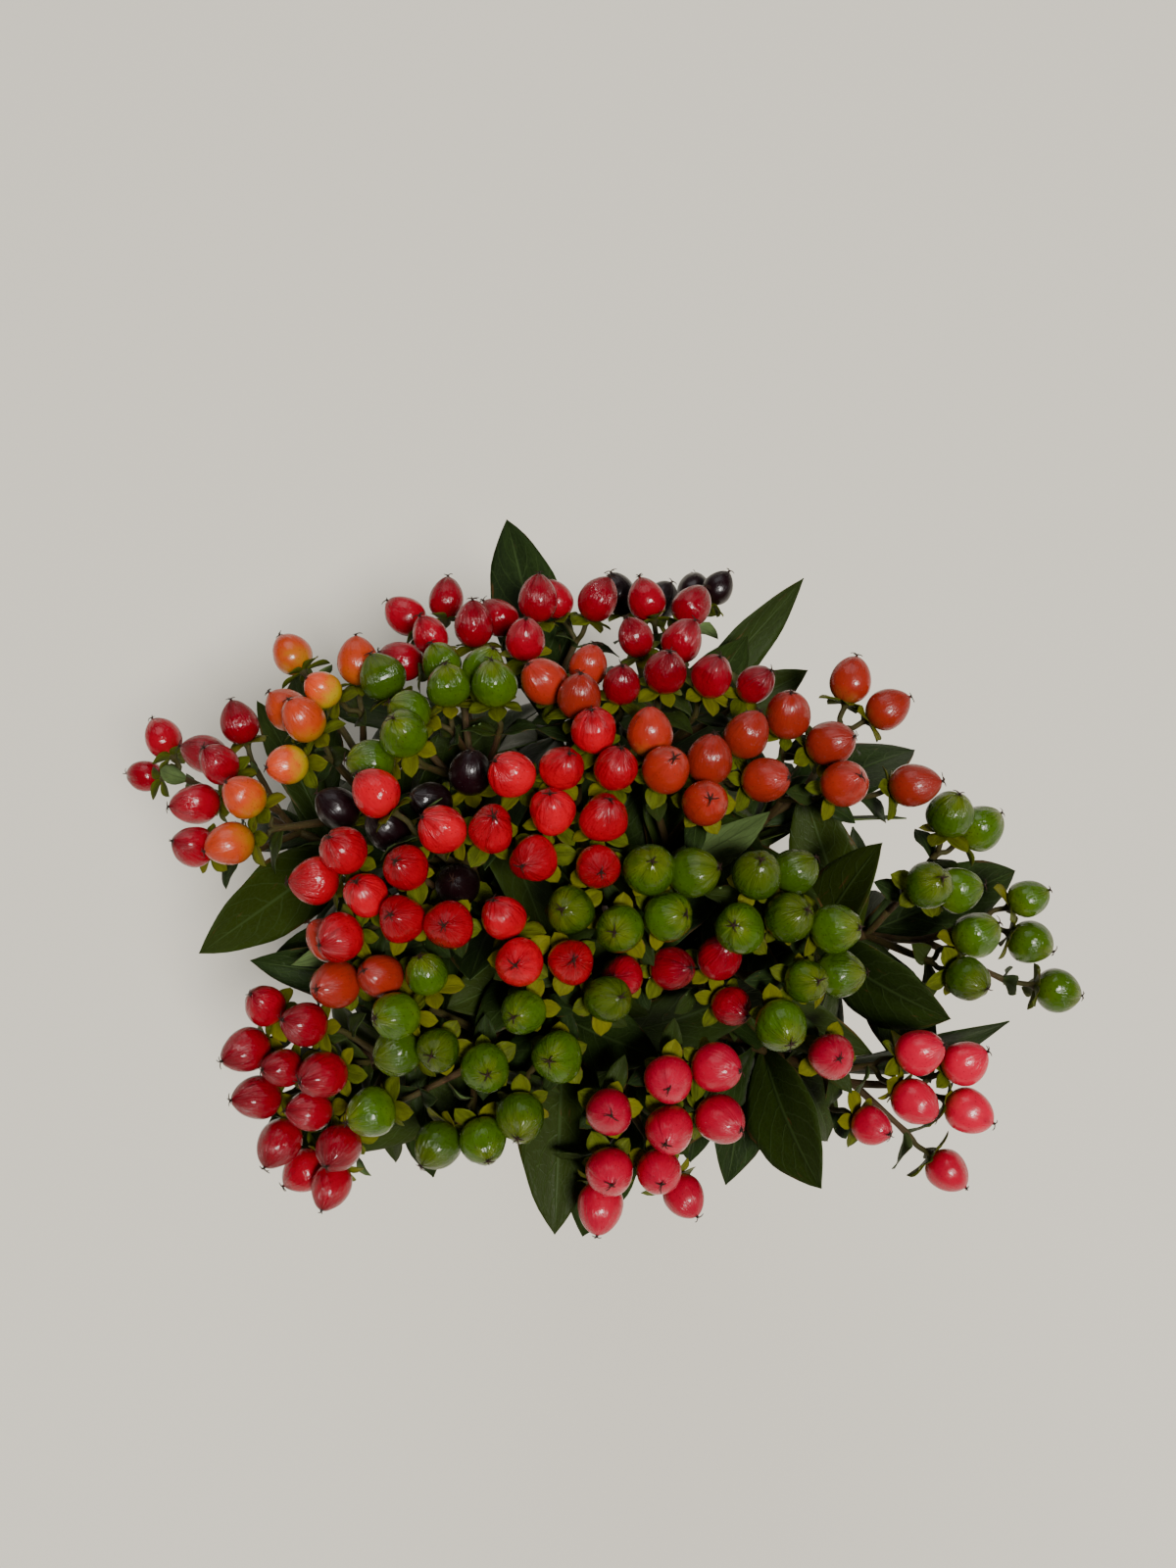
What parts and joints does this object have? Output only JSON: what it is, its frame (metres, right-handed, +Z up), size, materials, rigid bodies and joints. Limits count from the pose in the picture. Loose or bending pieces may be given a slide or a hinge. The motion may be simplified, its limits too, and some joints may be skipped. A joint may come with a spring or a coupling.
{
  "type": "hypericum berry bunch",
  "caption": "Hand-tied bunch of hypericum stems with red, coral, pink, green and dark berries among dark green leaves, standing on its splayed cut stem ends.",
  "frame": {"origin": "on the surface that the bunch stands on, under the middle of its bounding box", "axes": "+Z up along the bunch, from its cut ends to its berries; +X across its wider side; +Y across its narrower side, away from the viewer"},
  "size_m": [0.2826, 0.2138, 0.2829],
  "materials": {
    "berry_crimson": "waxy gloss",
    "berry_red": "waxy gloss",
    "berry_pink": "waxy gloss",
    "berry_coral": "waxy gloss",
    "berry_peach": "waxy gloss",
    "berry_green": "waxy gloss",
    "berry_dark": "waxy gloss",
    "bark": "smooth thin bark",
    "leaf": "satin leaf with sunk veins",
    "calyx": "satin sepals",
    "twine": "twisted plant fibre"
  },
  "bodies": {
    "root": {"far_left_crimson": "berry_crimson", "upper_left_crimson": "berry_crimson", "top_crimson": "berry_crimson", "top_right_crimson": "berry_crimson", "inner_crimson": "berry_crimson", "lower_left_crimson": "berry_crimson", "centre_red": "berry_red", "left_red": "berry_red", "lower_left_red": "berry_red", "inner_red": "berry_red", "lower_pink": "berry_pink", "lower_right_pink": "berry_pink", "centre_coral": "berry_coral", "right_centre_coral": "berry_coral", "right_coral": "berry_coral", "left_orange": "berry_coral", "left_peach": "berry_peach", "upper_left_green": "berry_green", "centre_green": "berry_green", "right_green": "berry_green", "far_right_green": "berry_green", "lower_left_green": "berry_green", "lower_green": "berry_green", "top_dark": "berry_dark", "left_dark": "berry_dark", "twine_tie": "twine"}
  },
  "joints": []
}
